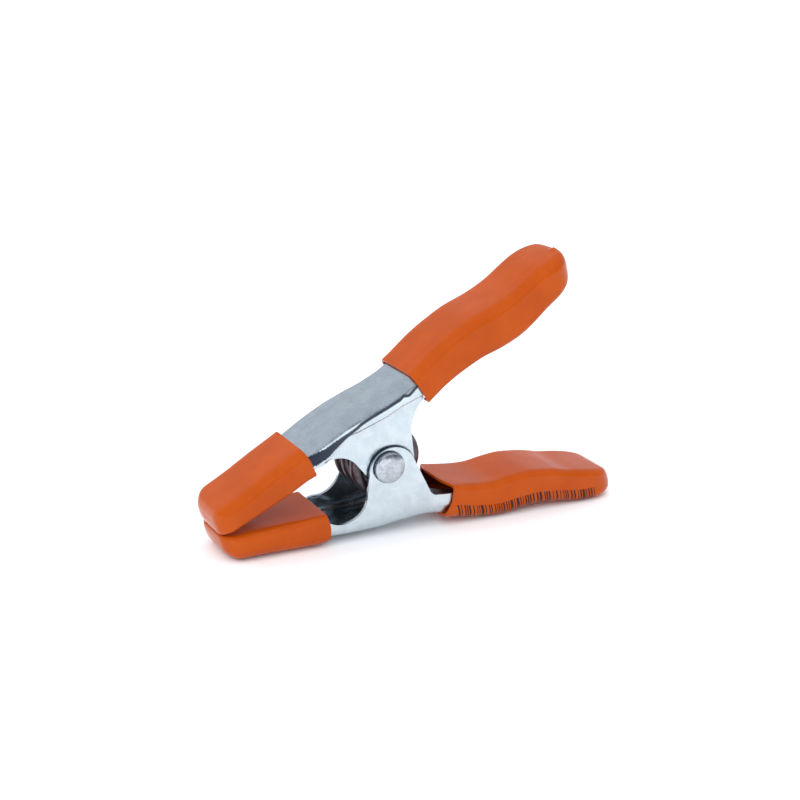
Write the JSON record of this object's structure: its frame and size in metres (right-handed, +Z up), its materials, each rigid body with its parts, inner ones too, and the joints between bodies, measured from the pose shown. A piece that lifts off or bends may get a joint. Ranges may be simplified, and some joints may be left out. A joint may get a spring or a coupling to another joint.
{
  "type": "spring clamp",
  "caption": "Hand spring clamp: pressed steel levers riveted at a pivot, coil torsion spring, vinyl jaw covers and handle grips.",
  "frame": {"origin": "centre of the bounding box at its lowest face, where the closed clamp lies on a table", "axes": "+X from the jaws to the handles, +Y along the pivot axis, +Z up from the table"},
  "size_m": [0.1652, 0.0308, 0.0967],
  "materials": {
    "zinc_steel": "bright zinc plate, slightly mottled",
    "zinc_rivet": "zinc plate, matt mottled",
    "spring_steel": "oil tempered, nearly black",
    "orange_vinyl": "soft glossy dip-moulded vinyl"
  },
  "bodies": {
    "lower": {"lower_lever": "zinc_steel", "lower_jaw_cover": "orange_vinyl", "lower_handle_grip": "orange_vinyl", "pivot_rivet": "zinc_rivet", "spacer_sleeve": "zinc_rivet", "torsion_spring": "spring_steel"},
    "upper": {"upper_lever": "zinc_steel", "upper_jaw_cover": "orange_vinyl", "upper_handle_grip": "orange_vinyl"}
  },
  "joints": [
    {"name": "jaw_pivot", "type": "hinge", "parent": "lower", "child": "upper", "pos_m": [-0.01708, 0, 0.02578], "axis": [0, 1, 0], "range_deg": [0, 46], "stiffness_Nm_per_rad": 5, "springref_deg": -20.05, "deforming": ["torsion_spring"]}
  ]
}
